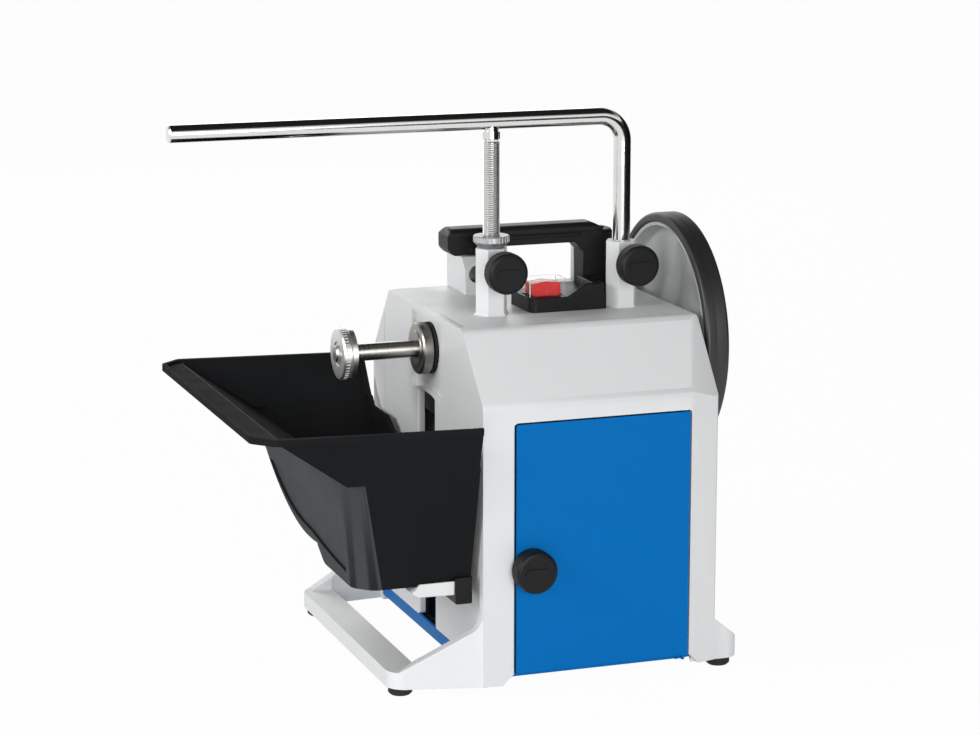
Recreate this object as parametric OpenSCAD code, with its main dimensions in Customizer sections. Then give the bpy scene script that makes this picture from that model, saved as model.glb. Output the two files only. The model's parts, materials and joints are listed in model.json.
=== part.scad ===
// Wet stone sharpener: housing, driven honing wheel, bare stone shaft,
// round support bar in clamped sleeves, lift-off water trough on a sliding carrier.
// Millimetres. X runs along the main shaft, the door faces -Y, Z is up, the feet stand on Z = 0.

/* [Housing] */

// Width of the housing along the shaft
body_w = 172; // [170:1:176]
// Front wall of the housing from the shaft
front_d = 118; // [116:1:120]
// Rear wall of the housing from the shaft
rear_d = 130; // [128:1:131]
// Height of the deck above the table
deck_z = 242; // [241:1:245]
// Height at which the sloped shoulders start
slope_z = 198; // [196:1:200]
// Front edge of the flat deck from the shaft
deck_front = 76; // [74:1:78]
// Rear edge of the flat deck from the shaft
deck_rear = 92; // [90:1:94]
// Wall thickness of the housing
wall = 5; // [4.5:0.5:5.5]
// Rounding of the shoulder edges
shoulder_r = 9; // [6:1:11]
// Underside of the base above the table
base_z = 6; // [5:0.5:7]
// Height of the base bars
bar_h = 11.5; // [10:0.5:13]
// Outer edge of the left base bar from the housing wall
left_reach = 60.5; // [58:0.5:64]
// Width of the left base bar
bar_w = 22; // [20:1:24]
// Outer edge of the right base bar from the housing wall
right_reach = 18.5; // [17:0.5:20]
// Height at which the leg gussets meet the housing
gusset_z = 48; // [44:1:50]
// Rounding between a gusset and the housing wall
gusset_r = 12; // [8:1:14]
// Depth of the recess round the shaft in the left wall
recess_t = 3.5; // [3:0.5:4]
// Width of that recess
recess_w = 63.4; // [60:0.2:66]
// Width of the lift slot in the left wall
slot_w = 37; // [36:0.5:38]

/* [Door] */

// Width of the door panel
door_w = 125; // [123:0.5:126]
// Lower edge of the door panel
door_z0 = 13.5; // [13.5:0.5:15]
// Upper edge of the door panel
door_z1 = 184.5; // [182:0.5:185]
// Gap between the door and its frame
door_gap = 1.2; // [1.2:0.1:1.4]
// Thickness of the door sheet
door_t = 2; // [1.5:0.5:2]
// Height of the door knob
door_knob_z = 86; // [80:1:92]
// Distance of the door knob from the panel's left edge
door_knob_in = 10; // [9:0.5:12]

/* [Shaft and honing wheel] */

// Height of the main shaft
shaft_z = 216; // [215:0.5:217]
// Diameter of the main shaft, the support bar and the horizontal sleeve bores
rod_d = 12; // [11.8:0.1:12.2]
// Outer diameter of the stone flange and of the lock nut
flange_d = 36; // [34:1:38]
// Free length between the flange and the lock nut
stone_w = 46; // [42:1:50]
// Thickness of the stone flange
flange_t = 8.7; // [8:0.1:9.5]
// Thickness of the lock nut
locknut_t = 10; // [9:0.5:11]
// Outer diameter of the honing wheel
wheel_d = 170; // [168:1:172]
// Width of the honing wheel tread
wheel_w = 17; // [16.5:0.5:19]
// Radial thickness of the tread
tread_t = 6.5; // [6:0.5:7]
// Radial thickness of the cup rim under the tread
cup_t = 3; // [2.5:0.5:3.5]
// Gap between the housing and the honing wheel
wheel_gap = 3; // [3:0.5:4]

/* [Support] */

// Distance between the support legs
leg_gap = 96; // [95:0.5:97]
// Position of the middle between the legs
leg_mid_x = 1; // [0:0.5:2]
// Position of the legs in front of the shaft
leg_y = -25; // [-27:0.5:-24]
// Height of the bar's axis
bar_z = 375; // [370:1:380]
// Free end of the bar
bar_end_x = -271; // [-280:1:-260]
// Bend radius of the bar at its axis
bend_r = 17.5; // [16:0.5:20]
// Lower ends of the legs
leg_z0 = 206; // [204:1:210]
// Pitch of the leg thread
pitch = 1.5; // [1.25:0.25:2]
// Height of the sleeves above the deck
sleeve_h = 46; // [44:1:48]
// Width across the flats of the sleeves
sleeve_af = 20; // [19:0.5:21]
// Diameter of the micro-adjust nut
micro_d = 25; // [24:0.5:26]
// Height of the micro-adjust nut
micro_h = 8.5; // [8:0.5:10]

/* [Clamp knobs] */

// Diameter of the clamp knobs and of the door knob
knob_d = 28.5; // [28:0.5:30]
// Thickness of the knobs
knob_h = 12; // [11:0.5:13]
// Ribs round a knob
knob_ribs = 60; // [40:1:64]
// Length of the neck between a front knob and its sleeve
neck_h = 14; // [12:0.5:15]
// Diameter of the clamp studs
stud_d = 8; // [7:0.5:8]
// Height of the front clamp knobs
clamp_z = 275; // [272:1:277]

/* [Rear sleeve blocks] */

// Position of the left block's bore
block_x = -30.5; // [-31:0.5:-30]
// Front face of the blocks
block_y0 = 50; // [49:0.5:52]
// Depth of the blocks
block_d = 40; // [38:1:42]
// Width of the blocks
block_w = 19; // [18:0.5:20]
// Height of the blocks above the deck
block_h = 26; // [25:0.5:27]
// Height of the bores above the deck
bore_h = 14; // [13.5:0.5:14.5]

/* [Handle and switch] */

// Left end of the handle
handle_x0 = -70; // [-72:0.5:-68]
// Right face of the handle column
handle_x1 = 48.5; // [47:0.5:49]
// Width of the handle column
column_w = 17.5; // [16:0.5:18]
// Depth of the handle
handle_d = 20; // [19:0.5:21]
// Top of the handle
handle_z = 297.5; // [296:0.5:299]
// Thickness of the handle beam
beam_h = 13.5; // [12.5:0.5:14]
// Left face of the switch housing
switch_x0 = -21.5; // [-22.5:0.5:-21]
// Front face of the switch housing
switch_y0 = -34; // [-35:0.5:-33]
// Height of the switch housing above the deck
switch_h = 10; // [9.5:0.5:10.5]
// Length of the rocker
rocker_l = 22.5; // [21.5:0.5:23]
// Width of the rocker
rocker_w = 14; // [13:0.5:15]
// Height of the rocker above the switch housing
rocker_h = 10; // [9:0.5:10.5]

/* [Water trough] */

// Radius of the trough's drum about the shaft
drum_r = 131; // [129:0.5:132]
// Wall thickness of the trough
tank_t = 3; // [2.5:0.5:3.5]
// Gap between the trough and the housing
tank_gap = 5; // [4.5:0.5:6]
// Width of the trough's floor
tank_w = 79; // [76:1:81]
// Lean of the trough's left wall, sideways per height
left_lean = 0.15; // [0.1:0.01:0.18]
// Lean of the trough's front wall, forward per height
front_lean = 0.26; // [0.22:0.01:0.28]
// Bevel between the front wall and the left wall
tank_bevel = 12; // [10:1:14]
// Underside of the trough
tank_z0 = 77; // [76:0.5:78]
// Left edge of the drip tray
tray_x = -245; // [-248:1:-242]
// Half length of the drip tray
tray_hl = 137; // [136:0.5:138]
// Height of the trough rim beside the housing
rim_z = 188; // [187:0.5:189]
// Tilt of the rim, rising to the left
rim_tilt = 1.5; // [1:0.1:2]
// Height of the rim lip
lip_h = 4.5; // [4:0.5:5.5]

/* [Hidden] */

$fn = 64;
eps = 0.01;
hw = body_w / 2;
run_fit = 0.05;
free_gap = 0.3;
seat = 0.1;
bar_top = base_z + bar_h;
left_x = -hw - left_reach;
right_x = hw + right_reach;
facet_x = 23;
facet_y = 6;
facet_n = [9.9, 20, 15.4];
side_profile = [
    [-front_d, base_z], [rear_d, base_z], [rear_d, slope_z],
    [deck_rear, deck_z], [-deck_front, deck_z], [-front_d, slope_z]
];
side_radii = [0, 0, shoulder_r, shoulder_r, shoulder_r, shoulder_r];

// base
base_d = front_d;
gusset_a = atan2(gusset_z - bar_top, left_reach - 6);
gusset_cz = gusset_z - gusset_r * tan(gusset_a) + gusset_r / cos(gusset_a);
foot_stub = 6;
foot_d = 16.5;
feet = [[left_x + 10.5, -92], [left_x + 10.5, 103], [hw + 6, -103], [hw + 6, 103]];
screw_d = 4;
base_screw_xy = [
    [-hw + 10, -base_d + 9], [-hw + 10, base_d - 9], [hw - 9, -base_d + 18], [hw - 9, base_d - 18]
];
seam_y = 94.5;
seam_w = 0.8;
seam_t = 0.6;
vent_w = 70;
vent_z = 92;
vent_step = 12;
gland_x = 50;
gland_z = 30;
gland_d = 14;

// base pan and strip
strip_z0 = 10;
strip_z1 = 19;
pan_t = 2.5;
pan_top = strip_z0 + pan_t;
strip_hl = base_d - 14;

// left wall openings
sill_r = 105;
sill_z = shaft_z - 29;
slot_top_r = sill_r - 2.5;
recess_top = deck_z - 4;

// door
open_hw = door_w / 2 + door_gap;
open_z1 = door_z1 + door_gap;
pivot_x = door_w / 2 - 2.5;
pivot_y = -front_d + 2.5;
barrel_d = 5;
pin_d = 2.5;
latch_x = -door_w / 2 + door_knob_in;
latch_d = 8;

// shaft train
flange_x = -hw + recess_t - 2.5 - free_gap;
nut_x = flange_x - flange_t - stone_w;
shaft_x0 = nut_x - locknut_t - 2;
bush_d = 24;
boss_d = 40;
boss_l = 15;
wheel_x0 = hw + wheel_gap;
wheel_x1 = wheel_x0 + wheel_w;
cup_r = wheel_d / 2 - tread_t;
cup_in = cup_r - cup_t;
tread_line = wheel_w * 0.45;
washer_t = 2;
wheelnut_t = 18;
shaft_tip = 2;
shaft_x1 = wheel_x1 + washer_t + wheelnut_t;

// motor
roller_r = 7.2;
spindle_d = 12;
motor_z = shaft_z - (cup_in - roller_r - free_gap);
motor_d = 92;
motor_x0 = -44;
motor_x1 = 48;
bell_t = 12;
bell_boss = 8;
spindle_hole = 24;
cradle_w = 12;
cradle_x = [-36, 28];
cradle_hw = 58;
foot_t = 4;
bolt_d = 5;

// support
leg_x = [leg_mid_x - leg_gap / 2, leg_mid_x + leg_gap / 2];
sleeve_z = deck_z + sleeve_h;
sleeve_r = sleeve_af / 2 / cos(30);
plate_hw = 80;
plate_hd = 69;
plate_t = 3;
plate_drop = 5.5;
ledge = 4;
bore_z = deck_z + bore_h;
block_xs = [block_x, block_x + leg_gap];
block_y = block_y0 + block_d / 2;
block_top = deck_z + block_h;
weld_d = 10;
neck_z = bar_z - rod_d / 2 - 6.5;

// handle and switch
switch_z = deck_z + switch_h;
switch_x1 = leg_x[1] - sleeve_r - 2.4;
cheek_t = 4;
ramp_x = [switch_x1 - 29, switch_x1 - 15];
ramp_h = 8;
rocker_x = -6.5;
rocker_y = -18;
rocker_pz = switch_z + 1;
cover_t = 1;
cover_gap = 1.6;
cover_head = 0.7;
column_x0 = handle_x1 - column_w;
beam_z0 = handle_z - beam_h;
hook_w = 11;
hook_z0 = beam_z0 - 5;
hook_cut = 4.5;

// trough and carrier
tank_x1 = -hw - tank_gap;
tank_x0 = tank_x1 - tank_w;
front_y = -106;
shelf_z = 154;
tray_cut = 15;
rod2_d = 8;
rod2_y = 11.5;
rod2_x = -hw + 14;
rod2_z1 = 184;
holder_t = 2.5;
slider_z0 = 58;
slider_z1 = 94;
carry_z = min(tank_z0, shaft_z - drum_r);
cross_x0 = tank_x1 - 12.5;
cross_x1 = tank_x1 - 0.5;
cross_z0 = carry_z - 13;
cross_y0 = front_y + 1;
cross_y1 = 86;
block_t = 4;
lip_y = front_y - 2.2;
arm_tip = cross_x0 - 30;
arm_z0 = carry_z - 6;
left_n = [-1, 0, -left_lean] / norm([1, left_lean]);
front_n = [0, -1, -front_lean] / norm([1, front_lean]);

// capacitor
cap_d = 34;
cap_y = 90;
cap_x = [-44, 18];
cap_z = pan_top + cap_d / 2 + 1;

// middle of the housing, so that the frame's origin lies under the middle of the whole outline
body_x = -(bar_end_x + shaft_x1 + shaft_tip) / 2;

// Sub-part to draw, or "all"

// Small helpers

function unit(v) = v / norm(v);
function back(p, i) = unit(p[(i + len(p) - 1) % len(p)] - p[i]);
function ahead(p, i) = unit(p[(i + 1) % len(p)] - p[i]);
function half(p, i) = acos(back(p, i) * ahead(p, i)) / 2;
function tangents(p, r) = [
    for (i = [0 : len(p) - 1])
        each r[i] > 0
            ? [p[i] + back(p, i) * r[i] / tan(half(p, i)), p[i] + ahead(p, i) * r[i] / tan(half(p, i))]
            : [p[i]]
];
function left_of(v) = [-v[1], v[0]];
function inset(p, d) = [
    for (i = [0 : len(p) - 1])
        let (n1 = left_of(-back(p, i)), n2 = left_of(ahead(p, i)))
            p[i] + (n1 + n2) * d / (1 + n1 * n2)
];

// Housing coordinates to frame coordinates
module placed() {
    translate([body_x, 0, 0])
        children();
}

// Convex outline with true round corners
module round_poly(p, r) {
    polygon(tangents(p, r));
    for (i = [0 : len(p) - 1])
        if (r[i] > 0)
            translate(p[i] + unit(back(p, i) + ahead(p, i)) * r[i] / sin(half(p, i)))
                circle(r = r[i]);
}

module round_rect(x0, x1, y0, y1, r) {
    round_poly([[x0, y0], [x1, y0], [x1, y1], [x0, y1]], [r, r, r, r]);
}

// Side outline (Y, Z) drawn out along X
module along_x(x0, x1) {
    translate([x0, 0, 0])
        rotate([90, 0, 90])
            linear_extrude(height = x1 - x0)
                children();
}

// Front outline (X, Z) drawn out along Y
module along_y(y0, y1) {
    translate([0, y1, 0])
        rotate([90, 0, 0])
            linear_extrude(height = y1 - y0)
                children();
}

// Plan outline (X, Y) drawn out along Z
module along_z(z0, z1) {
    translate([0, 0, z0])
        linear_extrude(height = z1 - z0)
            children();
}

module rod_x(d, x0, x1) {
    translate([x0, 0, 0])
        rotate([0, 90, 0])
            cylinder(d = d, h = x1 - x0);
}

module rod_y(d, y0, y1) {
    translate([0, y0, 0])
        rotate([-90, 0, 0])
            cylinder(d = d, h = y1 - y0);
}

module box(x0, x1, y0, y1, z0, z1) {
    translate([x0, y0, z0])
        cube([x1 - x0, y1 - y0, z1 - z0]);
}

module on_shaft() {
    translate([0, 0, shaft_z])
        children();
}

module on_motor() {
    translate([0, 0, motor_z])
        children();
}

// Everything on the outer side of a plane
module beyond(point, normal) {
    size = 600;
    translate(point)
        rotate([0, acos(normal[2] / norm(normal)), atan2(normal[1], normal[0])])
            translate([-size / 2, -size / 2, 0])
                cube(size);
}

// Housing and base

module left_base_plan() {
    difference() {
        round_poly(
            [[-hw + 4, -base_d], [-hw + 4, base_d], [-hw, base_d],
                [left_x, base_d - 4], [left_x, -base_d + 16]],
            [0, 0, 0, 12, 14]
        );
        polygon([
            [-hw + 5, -base_d + 7.5], [-hw + 5, base_d - 8],
            [left_x + bar_w, base_d - 11], [left_x + bar_w, -base_d + 17.5]
        ]);
    }
}

module left_base() {
    along_z(base_z, bar_top)
        left_base_plan();
    intersection() {
        along_z(base_z, gusset_cz + 1)
            difference() {
                left_base_plan();
                translate([left_x - 1, -base_d + 19])
                    square([left_reach, 2 * base_d - 32]);
            }
        along_y(-base_d - 1, base_d + 1)
            polygon(concat(
                [[left_x + 6, bar_top], [left_x + 6, base_z], [-hw + 4, base_z], [-hw + 4, gusset_cz]],
                [
                    for (i = [0 : 4])
                        let (a = (gusset_a - 90) * i / 4)
                            [-hw - gusset_r + gusset_r * cos(a), gusset_cz + gusset_r * sin(a)]
                ]
            ));
    }
}

module right_base() {
    intersection() {
        along_y(-base_d, base_d)
            polygon([
                [hw - 4, base_z], [right_x, base_z], [right_x, bar_top + 2],
                [hw, bar_top + 17], [hw - 4, bar_top + 20]
            ]);
        along_z(base_z, gusset_z)
            round_rect(hw - 40, right_x, -base_d + facet_y, base_d - facet_y, 10);
    }
}

// Cut corner: sx and sy give the side of the housing, d sets it in
module facet(sx, sy, wall_y, d) {
    for (n = [[sx * facet_y, sy * facet_x, 0], [sx * facet_n[0], sy * facet_n[1], facet_n[2]]])
        beyond([sx * (hw - facet_x), wall_y, slope_z] - unit(n) * d, n);
}

module facets(d) {
    facet(1, -1, -front_d, d);
    facet(1, 1, rear_d, d);
    facet(-1, 1, rear_d, d);
}

module front_opening() {
    along_y(-front_d - 1, -front_d + wall + 1)
        polygon([
            [-open_hw - 9, base_z - 1], [open_hw + 9, base_z - 1], [open_hw, door_z0],
            [open_hw, open_z1 - 2], [open_hw - 0.6, open_z1 - 0.6], [open_hw - 2, open_z1],
            [-open_hw + 2, open_z1], [-open_hw + 0.6, open_z1 - 0.6], [-open_hw, open_z1 - 2],
            [-open_hw, door_z0]
        ]);
}

module left_openings() {
    along_x(-hw - 1, -hw + recess_t)
        difference() {
            translate([-recess_w / 2, sill_z - 20])
                square([recess_w, recess_top - sill_z + 20]);
            translate([0, sill_z - sill_r])
                circle(r = sill_r);
        }
    along_x(-hw - 1, -hw + wall + 1)
        intersection() {
            translate([-slot_w / 2, strip_z1 - 2])
                square([slot_w, sill_z]);
            translate([0, sill_z - sill_r])
                circle(r = slot_top_r);
        }
    box(-hw - 1, -hw + wall + 0.5, -strip_hl, strip_hl, base_z - 1, strip_z1);
    box(-hw - 1, -hw + seam_t, seam_y, seam_y + seam_w, bar_top + 4, slope_z + 26);
}

module vents() {
    for (i = [0 : 5])
        translate([0, rear_d - wall / 2, vent_z + i * vent_step])
            cube([vent_w, wall + 2, 4], center = true);
}

module housing() {
    color([0.86, 0.87, 0.87])
    placed()
    difference() {
        union() {
            difference() {
                along_x(-hw, hw)
                    round_poly(side_profile, side_radii);
                difference() {
                    union() {
                        along_x(-hw + wall, hw - wall)
                            polygon(inset(side_profile, wall));
                        box(-hw + wall, hw - wall, -front_d + wall, rear_d - wall,
                            base_z - 1, base_z + wall + 1);
                    }
                    facets(wall);
                }
                facets(0);
            }
            on_shaft() {
                rod_x(boss_d, -hw + wall - eps, -hw + wall + boss_l);
                rod_x(boss_d, hw - wall - boss_l, hw - wall + eps);
            }
            left_base();
            right_base();
            for (p = base_screw_xy)
                translate([p[0], p[1], base_z])
                    cylinder(d = 12, h = strip_z0 - base_z);
        }
        front_opening();
        left_openings();
        on_shaft()
            rod_x(bush_d, -hw - 1, hw + 1);
        on_motor()
            rod_x(spindle_hole, hw - wall - 1, hw + 1);
        vents();
        along_z(deck_z - plate_t, deck_z + 1)
            round_rect(-plate_hw, plate_hw, -plate_hd, plate_hd, 6);
        along_z(deck_z - wall - 1, deck_z)
            round_rect(-plate_hw + ledge, plate_hw - ledge, -plate_hd + ledge, plate_hd - ledge, 4);
        translate([pivot_x, pivot_y, open_z1 - 1])
            cylinder(d = pin_d, h = 11);
        for (p = feet)
            translate([p[0], p[1], base_z - 1])
                cylinder(d = foot_stub, h = 6);
        for (p = base_screw_xy)
            translate([p[0], p[1], base_z - 1])
                cylinder(d = screw_d, h = 9);
        translate([gland_x, 0, gland_z])
            rod_y(gland_d, rear_d - wall - 1, rear_d + 1);
    }
}

// Deck inlay with the upright sleeves and the two horizontal sleeve blocks
module top_casting() {
    color([0.84, 0.85, 0.85])
    placed()
    difference() {
        union() {
            along_z(deck_z - plate_t, deck_z)
                round_rect(-plate_hw, plate_hw, -plate_hd, plate_hd, 6);
            along_z(deck_z - plate_drop, deck_z - plate_t + eps)
                round_rect(-plate_hw + ledge, plate_hw - ledge, -plate_hd + ledge, plate_hd - ledge, 4);
            for (x = leg_x)
                translate([x, leg_y, deck_z - eps]) {
                    cylinder(r = sleeve_r, h = sleeve_h + eps, $fn = 6);
                    cylinder(r1 = sleeve_r + 1.5, r2 = sleeve_r, h = 2, $fn = 6);
                }
            for (x = block_xs) {
                along_x(x - block_w / 2, x + block_w / 2)
                    polygon([
                        [block_y0, deck_z], [block_y0 + block_d, deck_z],
                        [block_y0 + block_d, block_top], [block_y0 + 7, block_top], [block_y0, block_top - 8]
                    ]);
                box(x - block_w / 2, x + block_w / 2, block_y0, plate_hd - 1, deck_z - 1, deck_z + 1);
            }
        }
        for (x = leg_x) {
            translate([x, leg_y, deck_z - plate_drop - 1])
                cylinder(d = rod_d + 2 * run_fit, h = plate_drop + sleeve_h + 2);
            translate([x, 0, clamp_z])
                rod_y(stud_d + 2 * run_fit, leg_y - sleeve_af, leg_y);
        }
        for (x = block_xs) {
            translate([x, 0, bore_z])
                rod_y(rod_d + 2 * run_fit, block_y0 - 1, block_y0 + block_d + 1);
            translate([x, block_y, bore_z])
                cylinder(d = stud_d + 2 * run_fit, h = block_h);
        }
        along_z(deck_z - plate_drop - 1, deck_z + 1)
            round_rect(rocker_x - 9, rocker_x + 9, rocker_y - 6, rocker_y + 6, 2);
    }
}

// Blue steel pan, its left edge shows under the housing wall
module chassis() {
    color([0.10, 0.33, 0.66])
    placed()
    difference() {
        union() {
            box(-hw + wall, hw - wall, -front_d + wall, rear_d - wall, strip_z0, pan_top);
            box(-hw, -hw + wall + 1, -strip_hl, strip_hl, strip_z0, pan_top);
            box(-hw, -hw + 2.5, -strip_hl, strip_hl, strip_z0, strip_z1);
            box(pivot_x - 5, pivot_x + 3.2, pivot_y - 2, -front_d + wall + 1, strip_z0, pan_top);
        }
        translate([pivot_x, pivot_y, strip_z0 - 1])
            cylinder(d = pin_d, h = pan_t + 2);
        for (y = [-rod2_y, rod2_y])
            translate([rod2_x, y, strip_z0 - 1])
                cylinder(d = rod2_d, h = pan_t + 2);
        for (x = cradle_x, y = [-cradle_hw + 7, cradle_hw - 7])
            translate([x + cradle_w / 2, y, strip_z0 - 1])
                cylinder(d = bolt_d, h = pan_t + 2);
        for (p = base_screw_xy)
            translate([p[0], p[1], strip_z0 - 1])
                cylinder(d = screw_d, h = pan_t + 2);
        facets(wall);
    }
}

module feet() {
    color([0.08, 0.08, 0.08])
    placed()
    for (p = feet)
        translate([p[0], p[1], 0]) {
            rotate_extrude()
                polygon([
                    [0, 0], [foot_d / 2 - 1.5, 0], [foot_d / 2, 1.5],
                    [foot_d / 2, base_z], [0, base_z]
                ]);
            cylinder(d = foot_stub, h = base_z + 5);
        }
}

// Domed heads under the legs
module base_screws() {
    color([0.70, 0.71, 0.72])
    placed()
    for (p = base_screw_xy)
        translate([p[0], p[1], base_z]) {
            cylinder(d = screw_d, h = pan_top - base_z);
            rotate_extrude()
                polygon([[0, -2.8], [2, -2.5], [3.1, -1.6], [3.6, 0], [0, 0]]);
        }
}

module shaft_bushes() {
    color([0.90, 0.89, 0.84])
    placed()
    on_shaft()
        difference() {
            union() {
                rod_x(bush_d, -hw + recess_t, -hw + wall + boss_l);
                rod_x(bush_d, hw - wall - boss_l, hw + 0.8);
            }
            rod_x(rod_d + 2 * run_fit, -hw - 1, hw + 2);
        }
}

module shaft_seal() {
    color([0.05, 0.05, 0.05])
    placed()
    on_shaft()
        difference() {
            rod_x(flange_d, -hw + recess_t - 2.5, -hw + recess_t);
            rod_x(rod_d + 2 * run_fit, -hw - 1, hw);
        }
}

// Lift rods behind the slot
module guide_rods() {
    color([0.16, 0.16, 0.17])
    placed()
    for (y = [-rod2_y, rod2_y])
        translate([rod2_x, y, strip_z0])
            cylinder(d = rod2_d, h = rod2_z1 - strip_z0);
}

// Upper rod seat on a back plate with the lift slot in it
module rod_holder() {
    color([0.12, 0.12, 0.13])
    placed()
    difference() {
        union() {
            box(-hw + wall, rod2_x + 7, -rod2_y - 8, rod2_y + 8, sill_z - 14, rod2_z1);
            box(-hw + wall, -hw + wall + holder_t, -slot_w / 2 - 12, slot_w / 2 + 12, pan_top, sill_z - 13);
        }
        box(-hw + wall - 1, -hw + wall + holder_t + 1, -slot_w / 2, slot_w / 2, strip_z1, sill_z - 18);
        for (y = [-rod2_y, rod2_y])
            translate([rod2_x, y, sill_z - 20])
                cylinder(d = rod2_d, h = 40);
    }
}

// Support

module support_bar() {
    color([0.78, 0.79, 0.80])
    placed()
    difference() {
        union() {
            translate([bar_end_x + 1, leg_y, bar_z])
                rod_x(rod_d, 0, leg_x[1] - bend_r - bar_end_x - 1);
            translate([bar_end_x, leg_y, bar_z])
                rotate([0, 90, 0])
                    cylinder(d1 = rod_d - 2, d2 = rod_d, h = 1);
            translate([leg_x[1] - bend_r, leg_y, bar_z - bend_r])
                rotate([90, 0, 0])
                    rotate_extrude(angle = 90)
                        translate([bend_r, 0])
                            circle(d = rod_d);
            translate([leg_x[1], leg_y, leg_z0 + 1])
                cylinder(d = rod_d, h = bar_z - bend_r - leg_z0 - 1);
            translate([leg_x[1], leg_y, leg_z0])
                cylinder(d1 = rod_d - 2, d2 = rod_d, h = 1);
        }
        translate([leg_x[0], leg_y, bar_z - rod_d])
            cylinder(d = weld_d, h = rod_d);
    }
}

// Turned leg with ring threads from its neck down to its end
module threaded_leg() {
    color([0.76, 0.77, 0.78])
    placed()
    translate([leg_x[0], leg_y, 0]) {
        rotate_extrude()
            polygon(concat(
                [[0, leg_z0], [rod_d / 2 - 1, leg_z0], [rod_d / 2 - 0.2, leg_z0 + 1]],
                [
                    for (i = [0 : floor((neck_z - leg_z0 - 2) / pitch) - 1])
                        each [
                            [rod_d / 2, leg_z0 + 1.2 + i * pitch],
                            [rod_d / 2, leg_z0 + 1.2 + (i + 0.25) * pitch],
                            [rod_d / 2 - 0.75, leg_z0 + 1.2 + (i + 0.6) * pitch]
                        ]
                ],
                [[rod_d / 2 - 0.4, neck_z], [rod_d / 2, neck_z + 0.5]],
                [[rod_d / 2, bar_z - rod_d / 2 - 1], [weld_d / 2, bar_z - rod_d / 2 - 1]],
                [[weld_d / 2, bar_z], [0, bar_z]]
            ));
    }
}

module micro_nut() {
    color([0.74, 0.75, 0.75])
    placed()
    translate([leg_x[0], leg_y, sleeve_z + seat])
        difference() {
            rotate_extrude()
                polygon([
                    [rod_d / 2 + run_fit, 0], [micro_d / 2 - 4, 0], [micro_d / 2 - 0.8, micro_h - 5],
                    [micro_d / 2, micro_h - 4.2], [micro_d / 2, micro_h - 0.6],
                    [micro_d / 2 - 0.6, micro_h], [rod_d / 2 + run_fit, micro_h]
                ]);
            for (i = [0 : 29])
                rotate(i * 12)
                    translate([micro_d / 2 + 0.2, 0, 0])
                        cylinder(d = 1.3, h = micro_h + 1, $fn = 16);
        }
}

// Ribbed knob standing on Z = 0 with a raised grip bar on its face
module knob(d, h) {
    difference() {
        union() {
            rotate_extrude()
                polygon([
                    [0, 0], [d / 2 - 1, 0], [d / 2, 1], [d / 2, h - 2.5],
                    [d / 2 - 1, h - 0.8], [d / 2 - 2.5, h - 0.2], [0, h - 0.2]
                ]);
            translate([0, 0, h - 1])
                linear_extrude(height = 1.8)
                    grip_bar(d * 0.6, 6);
        }
        for (i = [0 : knob_ribs - 1])
            rotate(i * 360 / knob_ribs)
                translate([d / 2 + 0.15, 0, 0.8])
                    cylinder(d = 1.1, h = h - 2.8, $fn = 16);
    }
}

module grip_bar(l, w) {
    square([l - w, w], center = true);
    for (s = [-1, 1])
        translate([s * (l - w) / 2, 0])
            circle(d = w);
}

module front_knob(x) {
    translate([x, leg_y - sleeve_af / 2 - free_gap, clamp_z])
        rotate([90, 0, 0])
            difference() {
                union() {
                    cylinder(d1 = stud_d + 5, d2 = stud_d + 8, h = neck_h);
                    translate([0, 0, neck_h])
                        knob(knob_d, knob_h);
                }
                translate([0, 0, -1])
                    cylinder(d = stud_d, h = neck_h + 7);
            }
}

module front_stud(x) {
    translate([x, leg_y - rod_d / 2 - free_gap, clamp_z])
        rotate([90, 0, 0])
            cylinder(d = stud_d, h = sleeve_af / 2 - rod_d / 2 + neck_h + 6);
}

module rear_knob(x) {
    translate([x, block_y, block_top + free_gap])
        difference() {
            union() {
                cylinder(d = stud_d + 6, h = 2.2);
                translate([0, 0, 2])
                    knob(knob_d, knob_h);
            }
            translate([0, 0, -1])
                cylinder(d = stud_d, h = 9);
        }
}

module rear_stud(x) {
    translate([x, block_y, bore_z + rod_d / 2 + 1])
        cylinder(d = stud_d, h = block_top + free_gap + 8 - bore_z - rod_d / 2 - 1);
}

module clamp_knob_left() {
    color([0.10, 0.10, 0.11])
    placed()
    front_knob(leg_x[0]);
}

module clamp_knob_right() {
    color([0.10, 0.10, 0.11])
    placed()
    front_knob(leg_x[1]);
}

module clamp_stud_left() {
    color([0.65, 0.66, 0.67])
    placed()
    front_stud(leg_x[0]);
}

module clamp_stud_right() {
    color([0.65, 0.66, 0.67])
    placed()
    front_stud(leg_x[1]);
}

module rear_knob_left() {
    color([0.10, 0.10, 0.11])
    placed()
    rear_knob(block_xs[0]);
}

module rear_knob_right() {
    color([0.10, 0.10, 0.11])
    placed()
    rear_knob(block_xs[1]);
}

module rear_stud_left() {
    color([0.65, 0.66, 0.67])
    placed()
    rear_stud(block_xs[0]);
}

module rear_stud_right() {
    color([0.65, 0.66, 0.67])
    placed()
    rear_stud(block_xs[1]);
}

// Handle and switch

// Beam on a column, with a cut-cornered hook at its free end
module handle_outline() {
    intersection() {
        union() {
            translate([handle_x0 + hook_w - 1, beam_z0])
                square([handle_x1 - handle_x0 - hook_w + 1, beam_h]);
            translate([column_x0, deck_z])
                square([column_w, handle_z - deck_z]);
            polygon([
                [column_x0 - 7, beam_z0 + eps], [column_x0 + eps, beam_z0 - 7],
                [column_x0 + eps, beam_z0 + eps]
            ]);
        }
        round_poly(
            [[handle_x0, deck_z], [handle_x1, deck_z], [handle_x1, handle_z], [handle_x0, handle_z]],
            [0, 0, 14, 0]
        );
    }
    polygon([
        [handle_x0 + hook_cut, hook_z0], [handle_x0 + hook_w, hook_z0],
        [handle_x0 + hook_w, handle_z], [handle_x0 + hook_cut, handle_z],
        [handle_x0, handle_z - hook_cut], [handle_x0, hook_z0 + hook_cut]
    ]);
}

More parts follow.
